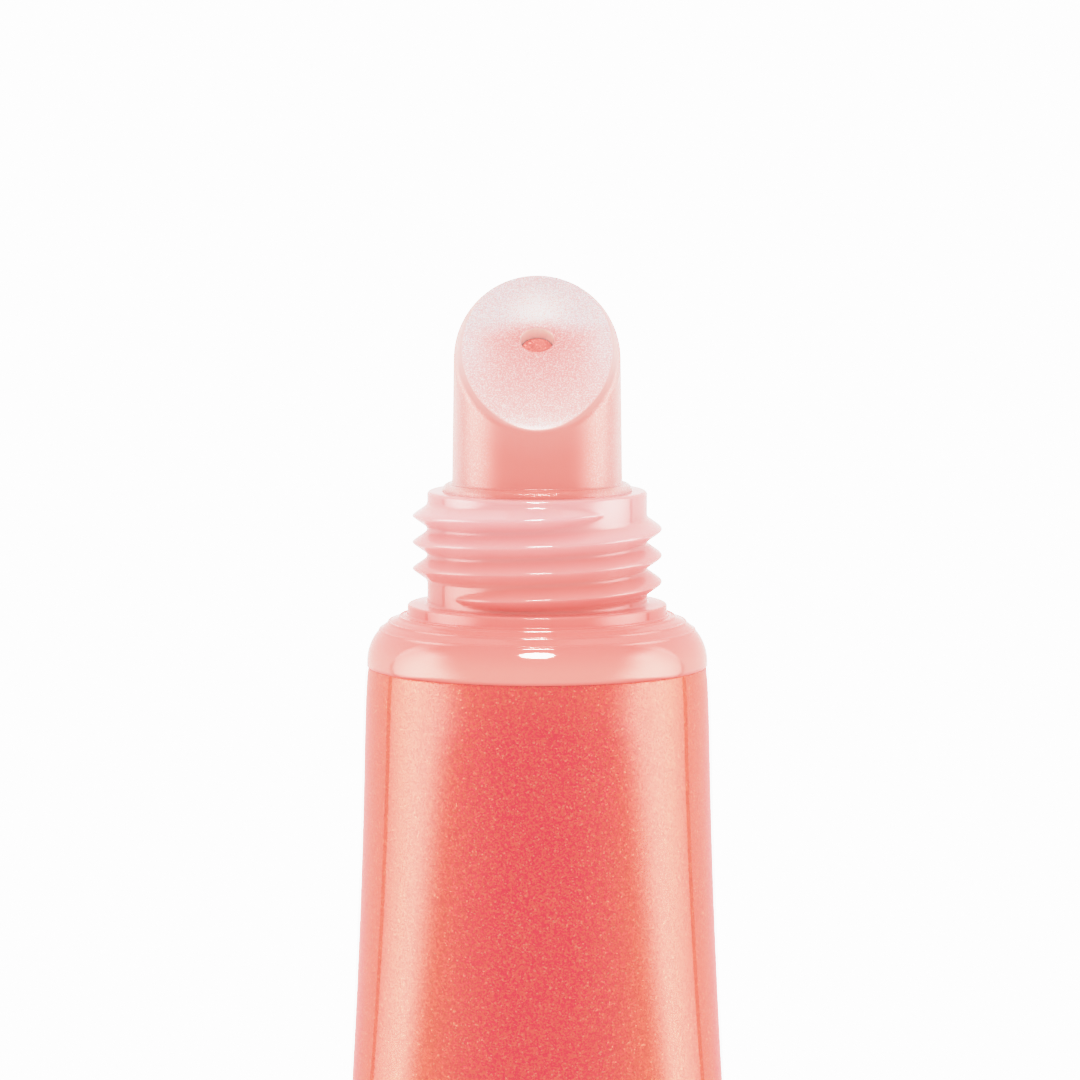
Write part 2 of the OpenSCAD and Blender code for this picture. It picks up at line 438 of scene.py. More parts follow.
@dataclass(frozen=True)
class MilkyHead(Finish):
    """Milky pink moulding, deeper in colour low on the neck and in its grooves, where painted shade adds to the
    plastic's own tint, and paler to both sides by a painted sheen.
    """

    name: str = "milky_pink_head"
    # The groove colours hold the grooves' own deeper tint with painted shade in it.
    groove_shade_low: Colour = (0.94, 0.38, 0.33)
    groove_shade_high: Colour = (0.97, 0.51, 0.5)
    crest_low: Colour = (0.94, 0.4, 0.365)
    crest_high: Colour = (0.98, 0.56, 0.56)
    shoulder: Colour = (0.97, 0.34, 0.3)
    lower: Colour = (1.0, 0.42, 0.365)
    # The paler colour of the painted sheen at both sides.
    painted_side_sheen: Colour = (0.97, 0.5, 0.48)
    wet: Colour = (0.92, 0.18, 0.15)
    rim_level: float = 76.0 * MM
    root_radius: float = 6.1 * MM
    crest_radius: float = 6.92 * MM
    neck_low: float = 79.5 * MM
    neck_high: float = 85.7 * MM

    def sockets(self, shader: Shader) -> dict[str, Any]:
        """Colour by height over the thread's root, with painted shade in the grooves, and by level; a painted sheen
        makes it paler at both sides.

        Args:
            shader: the tree that the nodes go into.

        Returns:
            Values and links by the name of the socket.
        """
        x, y, z = shader.parts(shader.place())
        radius = (x * x + y * y).root()
        # Painted shade: where the wall lies below the thread's crests, the groove colours add shade in the recess to
        # the plastic's own tint.
        raised = radius.step(self.root_radius, self.crest_radius - 0.1 * MM)
        up = z.step(self.neck_low, self.neck_high)
        shaded_groove = shader.mix(up, self.groove_shade_low, self.groove_shade_high)
        crest = shader.mix(up, self.crest_low, self.crest_high)
        neck = shader.mix(raised, shaded_groove, crest)
        on_neck = z.step(self.neck_low - 0.1 * MM, self.neck_low)
        # Painted sheen: both sides, as seen from the front, mix toward the pale colour, more on the neck than on the
        # shoulder.
        side_sheen_share = (x.size() / radius.high(1e-5)).step(0.55, 1.0)
        shoulder = shader.mix(z.step(self.rim_level + 0.5 * MM, self.rim_level + 2.0 * MM), self.lower, self.shoulder)
        ground = shader.mix(side_sheen_share * (0.12 + 0.25 * on_neck), shader.mix(on_neck, shoulder, neck), self.painted_side_sheen)
        rim = 1.0 - z.step(self.rim_level, self.rim_level + 0.22 * MM)
        return {
            "Base Color": shader.mix(rim * 0.7, ground, self.wet),
            "Roughness": 0.045 + 0.06 * shader.noise(900.0, 3.0),
            "Subsurface Weight": 0.12,
            "Subsurface Radius": (1.0, 0.5, 0.4),
            "Subsurface Scale": 0.35 * MM,
            "Normal": shader.bump(shader.noise(4500.0, 2.0), 0.05, 0.03 * MM),
        }


@dataclass(frozen=True)
class FrostedTip(Finish):
    """Milky tip: smooth sides, and a sparkling frosted face under which the fill shows; its colour holds painted
    highlights, painted glints and painted light in the hole.
    """

    name: str = "frosted_tip"
    face_point: Vector = field(default_factory=Vector)
    face_normal: Vector = field(default_factory=Vector)
    hole_point: Vector = field(default_factory=Vector)
    foot_top: float = 86.2 * MM
    deep: Colour = (0.9, 0.33, 0.285)
    side: Colour = (0.9, 0.46, 0.42)
    milk: Colour = (0.8, 0.71, 0.72)
    # Colour of the painted highlights: the bright spot above the hole, the face's lower edge and the speckles on the
    # walls.
    painted_highlight: Colour = (0.98, 0.91, 0.9)
    pink: Colour = (0.97, 0.58, 0.56)
    blush: Colour = (0.97, 0.43, 0.41)
    rose: Colour = (0.95, 0.34, 0.31)
    # Bright colour painted as light inside the hole, within mouth_reach of its centre.
    mouth: Colour = (1.0, 0.84, 0.79)
    mouth_reach: float = 1.4 * MM
    # Colour of the painted glints on the frosted face.
    painted_glint: Colour = (1.0, 0.98, 0.97)
    rim: Colour = (0.93, 0.68, 0.66)
    rim_radius: float = 4.5 * MM
    narrowing: float = 0.83

    def sockets(self, shader: Shader) -> dict[str, Any]:
        """A face mask from the slanted plane, and the fill's tone by place, with painted highlights, painted glints
        and painted light in the hole.

        Args:
            shader: the tree that the nodes go into.

        Returns:
            Values and links by the name of the socket.
        """
        x, y, z = shader.parts(shader.place())
        normal, point = self.face_normal, self.face_point
        height = x * normal.x + y * normal.y + z * normal.z - point.dot(normal)
        face = height.step(-0.16 * MM, -0.04 * MM)
        hx, hy, hz = self.hole_point
        wide = x.size()
        across, along = (x - hx) / (2.9 * MM), (z - hz) / (2.6 * MM)
        spread = (across * across + along * along).root()
        tone = shader.mix(spread.step(0.35, 1.7), self.blush, self.pink)
        near = (across * across * 1.6 + along * along * 3.0).root()
        tone = shader.mix(0.7 - 0.7 * near.step(0.3, 0.95), tone, self.rose)
        high = (z + 0.18 * wide + 0.5 * MM * shader.noise(700.0, 3.0)).step(hz + 0.45 * MM, hz + 1.75 * MM)
        beside = wide.step(2.0 * MM, 3.9 * MM) * z.step(hz - 3.6 * MM, hz + 0.3 * MM)
        tone = shader.mix(high.high(beside * 0.8), tone, self.milk)
        # Painted highlight: a soft bright spot above the hole, over the upper face.
        up = (z - hz - 1.35 * MM) / (1.3 * MM)
        lit = 1.0 - (across * across * 2.2 + up * up).root().step(0.0, 1.2)
        tone = shader.mix(lit * high, tone, self.painted_highlight)
        # Painted highlight along the face's lower edge.
        lower_edge_highlight = 1.0 - z.step(self.face_point.z + 0.1 * MM, self.face_point.z + 1.1 * MM)
        tone = shader.mix(lower_edge_highlight * 0.35, tone, self.painted_highlight)
        wall = shader.mix(wide.step(2.2 * MM, 4.3 * MM) * 0.8, self.deep, self.side)
        wall = shader.mix(height.step(-1.6 * MM, -0.1 * MM) * 0.35, wall, self.side)
        wall = shader.mix(wide.step(3.9 * MM, 4.6 * MM) * 0.5, wall, self.rim)
        wall = shader.mix(z.step(hz - 1.2 * MM, hz + 2.0 * MM) * 0.7, wall, self.milk)
        speckle, ripple = shader.noise(13000.0, 2.0, 0.6), shader.noise(19000.0, 1.0)
        # Painted glints: white speckles on the walls toward both sides.
        wall = shader.mix(speckle.step(0.5, 0.58) * wide.step(2.2 * MM, 3.4 * MM) * 0.22, wall, self.painted_highlight)
        # Painted light: the hole's wall takes the bright mouth colour, against the shade inside the hole.
        far = ((x - hx) * (x - hx) + (y - hy) * (y - hy) + (z - hz) * (z - hz)).root()
        wall = shader.mix(1.0 - far.step(self.mouth_reach, self.mouth_reach + 0.2 * MM), wall, self.mouth)
        # Painted glints: white speckles on the frosted face; the ripple then darkens it in a fine grain.
        spots = shader.mix(speckle.step(0.48, 0.56) * 0.45, tone, self.painted_glint)
        spots = shader.mix((1.0 - ripple.step(0.38, 0.48)) * 0.5, spots, self.blush)
        inner = (x * x / self.narrowing + y * y).root()
        frosted = face * (1.0 - inner.step(self.rim_radius, self.rim_radius + 0.12 * MM))
        foot = 1.0 - z.step(self.foot_top, self.foot_top + 0.15 * MM)
        rim = shader.mix(z.step(self.face_point.z + 0.6 * MM, self.face_point.z + 4.5 * MM), self.side, self.rim)
        relief = shader.bump(speckle + 0.6 * ripple, 0.3 * frosted + 0.3 * foot + 0.1, 0.05 * MM)
        return {
            "Base Color": shader.mix(frosted, shader.mix(face, wall, rim), spots),
            "Roughness": 0.26 - 0.18 * foot + 0.1 * frosted,
            "Subsurface Weight": 0.2,
            "Subsurface Radius": (1.0, 0.6, 0.5),
            "Subsurface Scale": 0.3 * MM,
            "Normal": relief,
        }


@dataclass(frozen=True)
class CapPlastic(Finish):
    """Smooth, glossy moulded plastic of the cap."""

    name: str = "cap_plastic"
    ground: Colour = (0.9, 0.45, 0.4)
    shade: Colour = (0.86, 0.38, 0.33)
    roughness: float = 0.16

    def sockets(self, shader: Shader) -> dict[str, Any]:
        """Near-even colour with a trace of flow and a fine surface.

        Args:
            shader: the tree that the nodes go into.

        Returns:
            Values and links by the name of the socket.
        """
        flow = shader.noise(60.0, 3.0).step(0.35, 0.7)
        return {
            "Base Color": shader.mix(flow * 0.5, self.ground, self.shade),
            "Roughness": self.roughness + 0.06 * shader.noise(700.0, 3.0),
            "Subsurface Weight": 0.15,
            "Subsurface Scale": 0.5 * MM,
            "Coat Weight": 0.6,
            "Coat Roughness": 0.04,
            "Normal": shader.bump(shader.noise(1800.0, 2.0), 0.04, 0.02 * MM),
        }


@dataclass(frozen=True)
class LinerPlastic(Finish):
    """Plain white moulding inside the cap."""

    name: str = "liner_plastic"
    ground: Colour = (0.86, 0.82, 0.79)
    shade: Colour = (0.8, 0.75, 0.72)

    def sockets(self, shader: Shader) -> dict[str, Any]:
        """Milky plastic with a soft moulded grain.

        Args:
            shader: the tree that the nodes go into.

        Returns:
            Values and links by the name of the socket.
        """
        flow = shader.noise(180.0, 3.0).step(0.3, 0.75)
        return {
            "Base Color": shader.mix(flow, self.ground, self.shade),
            "Roughness": 0.38 + 0.12 * shader.noise(900.0, 3.0),
            "Subsurface Weight": 0.3,
            "Subsurface Scale": 0.6 * MM,
            "Normal": shader.bump(shader.noise(2500.0, 3.0), 0.1, 0.03 * MM),
        }


@dataclass(frozen=True)
class SealFoam(Finish):
    """Soft foamed ring."""

    name: str = "seal_foam"
    ground: Colour = (0.8, 0.8, 0.78)
    shade: Colour = (0.68, 0.68, 0.66)

    def sockets(self, shader: Shader) -> dict[str, Any]:
        """Fine closed cells in tone and relief.

        Args:
            shader: the tree that the nodes go into.

        Returns:
            Values and links by the name of the socket.
        """
        number, _ = shader.grains(0.16 * MM)
        return {
            "Base Color": shader.mix(number.step(0.2, 0.9), self.ground, self.shade),
            "Roughness": 0.75 + 0.1 * shader.noise(1200.0, 2.0),
            "Normal": shader.bump(number, 0.35, 0.04 * MM),
        }


@dataclass(frozen=True)
class FloorPaper(Finish):
    """White paper under the tube, fading into the white surround."""

    name: str = "floor_paper"
    white: Colour = (0.97, 0.97, 0.97)
    solid: float = 0.09
    gone: float = 0.27

    def sockets(self, shader: Shader) -> dict[str, Any]:
        """White with a faint tooth."""
        tooth = shader.noise(900.0, 4.0)
        return {"Base Color": self.white, "Roughness": 0.75 + 0.1 * tooth, "Specular IOR Level": 0.2}

    def surface(self, shader: Shader) -> Any:
        """Paper near the tube, see-through far from it.

        Args:
            shader: the tree that the nodes go into.

        Returns:
            The mixed shader's socket.
        """
        x, y, _ = shader.parts(shader.place())
        paper = shader.node("ShaderNodeBsdfPrincipled", inputs=self.sockets(shader))
        clear = shader.node("ShaderNodeBsdfTransparent")
        fade = (x * x + y * y).root().step(self.solid, self.gone)
        both = shader.node("ShaderNodeMixShader", inputs={0: fade, 1: paper.outputs[0], 2: clear.outputs[0]})
        return both.outputs[0]


# ---------------------------------------------------------------- modelling


def deselect_all() -> None:
    """Leaves edit mode and selects nothing, since an operator acts on all that is selected."""
    if bpy.context.object and bpy.context.object.mode != "OBJECT":
        bpy.ops.object.mode_set(mode="OBJECT")
    bpy.ops.object.select_all(action="DESELECT")


def take(piece: bpy.types.Object) -> None:
    """Makes a piece the only selected and active object.

    Args:
        piece: the piece.
    """
    deselect_all()
    piece.select_set(True)
    bpy.context.view_layer.objects.active = piece


@contextmanager
def editing(piece: bpy.types.Object) -> Iterator[None]:
    """Edit mode on one piece, with all of it selected.

    Args:
        piece: the piece.

    Yields:
        Nothing; object mode is back at the end.
    """
    take(piece)
    bpy.ops.object.mode_set(mode="EDIT")
    bpy.ops.mesh.select_all(action="SELECT")
    try:
        yield
    finally:
        bpy.ops.object.mode_set(mode="OBJECT")


def arc(centre: Point, radius: float, start: float, end: float, count: int = 6) -> list[Point]:
    """A profile's arc in count steps, in millimetres; in degrees 0 is outwards and 90 is up."""
    turns = [math.radians(start + (end - start) * k / count) for k in range(count + 1)]
    return [(centre[0] + radius * math.cos(t), centre[1] + radius * math.sin(t)) for t in turns]


def lathe(name: str, profile: list[Point], closed: bool = True, steps: int = AROUND) -> bpy.types.Object:
    """Turns a profile about the tube's axis.

    Args:
        name: the piece's name.
        profile: (radius, height) points in millimetres.
        closed: whether the last point joins the first.
        steps: facets around.

    Returns:
        The turned piece, its normals outwards.
    """
    deselect_all()
    bpy.ops.mesh.primitive_plane_add(size=MM, location=(0, 0, 0), enter_editmode=True)
    piece = bpy.context.object
    piece.name = piece.data.name = name
    bpy.ops.mesh.select_all(action="SELECT")
    bpy.ops.mesh.merge(type="CENTER")
    bpy.ops.transform.translate(value=(profile[0][0] * MM, 0, profile[0][1] * MM))
    path = profile + ([profile[0]] if closed else [])
    for (r0, z0), (r1, z1) in zip(path, path[1:]):
        bpy.ops.mesh.extrude_region_move(TRANSFORM_OT_translate={"value": ((r1 - r0) * MM, 0, (z1 - z0) * MM)})
    bpy.ops.mesh.select_all(action="SELECT")
    bpy.ops.mesh.remove_doubles(threshold=WELD)
    bpy.ops.mesh.spin(steps=steps, angle=2 * math.pi, center=(0, 0, 0), axis=(0, 0, 1), use_auto_merge=True)
    weld_and_face_out(piece)
    return piece


def reshape(piece: bpy.types.Object, move: Callable[[Vector], Vector]) -> None:
    """Moves every vertex of a piece by a function of its place.

    Args:
        piece: the piece.
        move: gives a point's new place, in metres.
    """
    for vertex in piece.data.vertices:
        vertex.co = move(vertex.co)
    piece.data.update()


def weld_and_face_out(piece: bpy.types.Object) -> None:
    """Merges doubles and turns every face outwards.

    Args:
        piece: the piece.
    """
    with editing(piece):
        bpy.ops.mesh.remove_doubles(threshold=WELD)
        bpy.ops.mesh.normals_make_consistent(inside=False)


def slice_off(point: Vector, normal: Vector) -> None:
    """Cuts the selection at a plane, drops what lies beyond and closes the cut; edit mode must be on."""
    bpy.ops.mesh.bisect(plane_co=point, plane_no=normal, use_fill=True, clear_outer=True)


def select_faces(piece: bpy.types.Object, wanted: Callable[[Any], bool]) -> None:
    """Selects the faces that pass a test; edit mode must be on.

    Args:
        piece: the piece.
        wanted: whether a face is to be selected.
    """
    mesh = bmesh.from_edit_mesh(piece.data)
    for face in mesh.faces:
        face.select_set(False)
    for face in mesh.faces:
        if wanted(face):
            face.select_set(True)
    bmesh.update_edit_mesh(piece.data)


def combine(piece: bpy.types.Object, other: bpy.types.Object, blend: Blend) -> None:
    """Applies a boolean with another piece, which is used up.

    Args:
        piece: the piece that is kept.
        other: the one that is used up.
        blend: what is done with it.
    """
    take(piece)
    boolean = piece.modifiers.new("join", "BOOLEAN")
    boolean.operation, boolean.object, boolean.solver = blend.value, other, "EXACT"
    bpy.ops.object.modifier_apply(modifier=boolean.name)
    bpy.data.objects.remove(other)


def join(piece: bpy.types.Object, other: bpy.types.Object) -> None:
    """Joins another piece into this one and welds their shared edge.

    Args:
        piece: the piece that is kept.
        other: the one that is used up.
    """
    take(piece)
    other.select_set(True)
    bpy.ops.object.join()
    weld_and_face_out(piece)


def smooth(piece: bpy.types.Object, angle: float = 32.0) -> None:
    """Smooth shading, with edges sharper than the angle kept."""
    take(piece)
    bpy.ops.object.shade_smooth_by_angle(angle=math.radians(angle))


@dataclass
class Thread:
    """A helical ridge, and how far it stands out at any place."""

    start_level: float
    start_angle: float
    turns: float
    pitch: float = 1.465
    rise: float = 0.82
    half_width: float = 0.42
    run_out: float = 40.0

    def height(self, angle: float, level: float) -> float:
        """How far the ridge stands out of the wall.

        Args:
            angle: degrees round the axis.
            level: height in millimetres.

        Returns:
            Millimetres out of the wall.
        """
        lead = (level - self.start_level) / self.pitch - (angle - self.start_angle) / 360
        turn = round(lead)
        turned = (angle - self.start_angle) + 360 * turn
        ends = min(turned, 360 * self.turns - turned) / self.run_out
        if ends <= 0:
            return 0.0
        grown = math.sin(math.radians(90 * min(1.0, ends))) ** 0.75
        across = abs(lead - turn) / self.half_width
        blunt, fillet = 0.16, 0.16
        ridge = 1 - (math.hypot(across, blunt) - blunt) / (math.hypot(1, blunt) - blunt)
        sunk = ridge - (1 - grown)
        return self.rise * (sunk + math.hypot(sunk, fillet * grown)) / 2 / ((1 + math.hypot(1, fillet)) / 2)

    def wall(self, name: str, radius: float, low: float, high: float, inwards: bool = False) -> bpy.types.Object:
        """A round wall with the ridge on it, on a grid that runs along the helix.

        Args:
            name: the piece's name.
            radius: radius of the plain wall in millimetres.
            low: lowest level in millimetres.
            high: highest level in millimetres.
            inwards: whether the ridge stands inwards.

        Returns:
            The open wall.
        """
        fine = 24
        rows = math.ceil((high - low + self.pitch) / self.pitch * fine)
        span = rows * self.pitch / fine
        deselect_all()
        bpy.ops.mesh.primitive_grid_add(x_subdivisions=AROUND, y_subdivisions=rows, size=1, location=(0, 0, 0))
        piece = bpy.context.object
        piece.name = piece.data.name = name
        sign = -1 if inwards else 1

        def rolled(place: Vector) -> Vector:
            """A place on the flat grid, rolled up along the helix.

            Args:
                place: a point of the grid, which is 1 wide and 1 high.

            Returns:
                Its place on the wall, in metres.
            """
            along, up = place.x + 0.5, place.y + 0.5
            level = min(high, max(low, low - self.pitch + self.pitch * along + span * up))
            fade = min(1.0, (level - low) / 0.12, (high - level) / 0.12)
            out = radius + sign * self.height(360 * along, level) * max(0.0, fade)
            turn = 2 * math.pi * along
            return Vector((out * math.cos(turn), out * math.sin(turn), level)) * MM

        reshape(piece, rolled)
        with editing(piece):
            bpy.ops.mesh.remove_doubles(threshold=WELD)
            bpy.ops.mesh.dissolve_degenerate(threshold=WELD)
        return piece


@dataclass
class Flattening:
    """How the round sleeve is pressed flat towards its welded end."""

    seam: float
    round_r: float = 9.65
    wall: float = 0.1
    rim_draw: float = 0.18
    weld_height: float = 5.0
    weld_thickness: float = 0.95
    power: float = 1.74
    rim_reach: float = 1.3
    squaring: float = 7.0
    skin: float = 0.02
    least_depth: float = 0.08

    def __post_init__(self) -> None:
        """Works out the girth that stays the same all the way down."""
        self.bend = math.log(2) / math.log(math.pi / 2)
        self.girth = (math.pi * self.round_r / 2) ** self.bend
        self.weld_half = (self.girth - (self.weld_thickness / 2) ** self.bend) ** (1 / self.bend)

    def half_sizes(self, level: float) -> Point:
        """Half width and half depth of the sleeve at a level, in millimetres.

        Args:
            level: height in millimetres.

        Returns:
            Half the width and half the depth.
        """
        if level <= self.weld_height:
            return self.weld_half, self.weld_thickness / 2
        down = (self.seam - level) / (self.seam - self.weld_height)
        width = self.round_r + (self.weld_half - self.round_r) * max(0.0, down) ** self.power
        depth = max(self.girth - width**self.bend, 1e-4) ** (1 / self.bend)
        drawn = self.rim_draw * math.exp(-max(0.0, self.seam - level) / self.rim_reach)
        return width - drawn, depth - drawn

    def press(self, place: Vector) -> Vector:
        """Where a point of the round sleeve goes when it is pressed flat.

        Args:
            place: a point of the round sleeve, in metres.

        Returns:
            Its place on the pressed one.
        """
        x, y, level = (v / MM for v in place)
        radius = math.hypot(x, y)
        if level > self.seam + 1e-4 or radius < 1e-6:
            return place
        width, depth = self.half_sizes(level)
        inner = self.round_r - self.wall
        inset = self.round_r - max(radius, inner - self.skin)
        share = min(1.0, radius / (inner - self.skin))
        flat = min(1.0, max(0.0, (self.weld_height + self.squaring - level) / self.squaring))
        power = 2 / (2 + 4 * flat**2)
        cos, sin = x / radius, y / radius
        wide = share * (width - inset) * math.copysign(abs(cos) ** power, cos)
        deep = share * max(self.least_depth - 0.3 * inset, depth - inset) * math.copysign(abs(sin) ** power, sin)
        return Vector((wide, deep, level)) * MM


# ---------------------------------------------------------------- the pieces


class Assembly:
    """Something that builds pieces and dresses them."""

    def dress(self, piece: bpy.types.Object, finish: Finish, angle: float = 32.0) -> None:
        """Gives a piece its material and its smooth shading.

        Args:
            piece: the finished mesh.
            finish: its finish.
            angle: sharper edges stay sharp, in degrees.
        """
        piece.data.materials.clear()
        piece.data.materials.append(finish.build())
        smooth(piece, angle)
        lo, hi = (Vector(piece.bound_box[k]) for k in (0, 6))
        log.info("%s: %d faces, %s mm", piece.name, len(piece.data.polygons), [round(v / MM, 1) for v in hi - lo])


@dataclass
class Sleeve(Assembly):
    """The clear sleeve and the gloss in it."""

    seam: float = 76.0
    weld_rib: float = 0.07
    rib_count: int = 8
    rib_low: float = 0.55
    rib_pitch: float = 0.5
    weld_inside: float = 1.6
    fill_inside: float = 1.75
    gap: float = 0.04
    neck_bore: float = 4.87
    plug_low: float = 82.54

    def levels(self, low: float, high: float) -> list[float]:
        """Ring levels, closer together near both ends.

        Args:
            low: the first level in millimetres.
            high: the last.

        Returns:
            The levels, rising.
        """
        ends = [0.0, 0.05, 0.15, 0.3, 0.5, 0.8, 1.2, 1.7, 2.4, 3.2, 4.2, 5.4, 7.0, 9.0]
        middle = [low + 9 + (high - low - 18) * k / 22 for k in range(23)]
        return sorted({round(v, 4) for v in [*(low + e for e in ends), *middle, *(high - e for e in ends)]})

    def build(self, shape: Flattening) -> None:
        """The sleeve: turned round, then pressed flat at its end.

        Args:
            shape: how it is pressed flat.
        """
        out, inner, weld = shape.round_r, shape.round_r - shape.wall, shape.weld_height
        ribs: list[Point] = []
        for k in range(self.rib_count):
            level = self.rib_low + self.rib_pitch * k
            rise = [(0.0, 0.0), (0.1, self.weld_rib), (0.3, self.weld_rib), (0.4, 0.0)]
            ribs += [(out - cut, level + up) for up, cut in rise]
        profile = [(0.0, 0.0), (out - 0.06, 0.0), (out, 0.08), *ribs]
        profile += [(out, v) for v in self.levels(weld, self.seam)[:-1]]
        profile += [(out - 0.03, self.seam - 0.02), (out - 0.09, self.seam), (inner, self.seam)]
        profile += [(inner, v) for v in reversed(self.levels(weld + self.weld_inside, self.seam)[:-1])]
        profile += [(0.0, weld + self.weld_inside)]
        piece = lathe("sleeve_film", profile, closed=False)
        reshape(piece, shape.press)
        weld_and_face_out(piece)
        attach(piece, Body.TUBE.value)
        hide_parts("tube_sleeve")
        self.dress(piece, ClearFilm())

    def fill(self, shape: Flattening, tip: "Tip") -> None:
        """The gloss, from the sleeve's end up into the tip.

        Args:
            shape: how the sleeve is pressed flat.
            tip: the tip that it reaches into.
        """
        wet, neck, bore = shape.round_r - shape.wall - shape.skin, self.neck_bore - self.gap, tip.bore - self.gap
        low = shape.weld_height + self.fill_inside
        profile = [(0.0, low)]
        profile += [(wet, v) for v in self.levels(low, self.seam - 0.02)]
        profile += [(8.26, self.seam), (8.26, self.seam + 0.25)]
        profile += arc((6.85, self.seam + 0.25), 1.4, 0, 90, 8)
        profile += [(neck, self.seam + 1.65), (neck, self.plug_low - 0.05)]
        profile += [(bore, self.plug_low - 0.05), (bore, tip.top + 2), (0.0, tip.top + 2)]
        piece = lathe("gloss_body", profile, closed=False)
        reshape(piece, shape.press)
        with editing(piece):
            under = tip.face_point - tip.face_normal * (tip.face_wall + self.gap) * MM
            slice_off(under, tip.face_normal)
        dimple = [(0, -2.0), (0.89, -2.0), (0.89, -0.86), (0.6, -0.98), (0, -1.02)]
        rod = lathe("gloss_rod", dimple, closed=False, steps=48)
        tip.lean(rod)
        combine(piece, rod, Blend.ADD)
        weld_and_face_out(piece)
        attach(piece, Body.TUBE.value)
        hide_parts("gloss_fill")
        self.dress(piece, ShimmerGloss())


@dataclass
class Head(Assembly):
    """The moulded shoulder, ring and threaded neck."""

    seam: float = 76.0
    neck_r: float = 6.1
    bore: float = 4.87
    flange_r: float = 7.2
    flange_top: float = 79.47
    neck_top: float = 85.74
    corner: float = 2.6
    corner_r: float = 6.85
    corner_height: float = 0.25
    wall: float = 1.15
    skirt_r: float = 8.97
    skirt_bore: float = 8.3
    skirt_drop: float = 0.4
    shoulder_turn: float = 80.0
    shoulder_steps: int = 128
    beads: tuple[Point, ...] = ((73.0, 0.085), (58.0, 0.075), (43.5, 0.05))
    bead_width: float = 1.2

    def shoulder(self, centre: Point) -> list[Point]:
        """The rounded shoulder with three fine beads on it.

        Args:
            centre: the middle of its round, in millimetres.

        Returns:
            Its profile, from the ring outwards.
        """
        points = []
        for step in range(self.shoulder_steps + 1):
            turn = self.shoulder_turn * (1 - step / self.shoulder_steps)
            bead = sum(rise * math.exp(-(((turn - at) / self.bead_width) ** 2) / 2) for at, rise in self.beads)
            points += arc(centre, self.corner + bead, turn, turn, 1)[:1]
        return points

    def build(self) -> None:
        """The head, turned in one profile with the threaded wall let in."""
        seam, centre = self.seam, (self.corner_r, self.seam + self.corner_height)
        wall_low, wall_high = self.flange_top + 0.16, self.neck_top - 0.2
        profile = arc((self.neck_r + 0.16, wall_low), 0.16, 180, 270, 4)
        profile += arc((self.flange_r - 0.12, self.flange_top - 0.12), 0.12, 90, 0, 5)
        profile += [(self.flange_r, seam + 3.0)]
        profile += arc((self.flange_r + 0.1, seam + 2.95), 0.1, 180, 262, 4)
        profile += self.shoulder(centre)
        profile += [(9.45, seam + 0.06), (9.42, seam + 0.004), (self.skirt_r, seam + 0.004)]
        profile += [(self.skirt_r, seam - self.skirt_drop), (self.skirt_bore, seam - self.skirt_drop)]
        profile += [(self.skirt_bore, seam + self.corner_height)]
        profile += arc(centre, self.corner - self.wall, 0, 90, 8)
        profile += [(self.bore, seam + 1.7), (self.bore, self.neck_top - 0.1), (self.bore + 0.1, self.neck_top)]
        profile += arc((self.neck_r - 0.2, self.neck_top - 0.2), 0.2, 90, 0, 6)
        piece = lathe("head_moulding", profile, closed=False)
        thread = Thread(start_level=seam + 4.14, start_angle=224.0, turns=3.225)
        join(piece, thread.wall("neck_thread", self.neck_r, wall_low, wall_high))
        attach(piece, Body.TUBE.value)
        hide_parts("tube_head")
        self.dress(piece, MilkyHead(), 40.0)


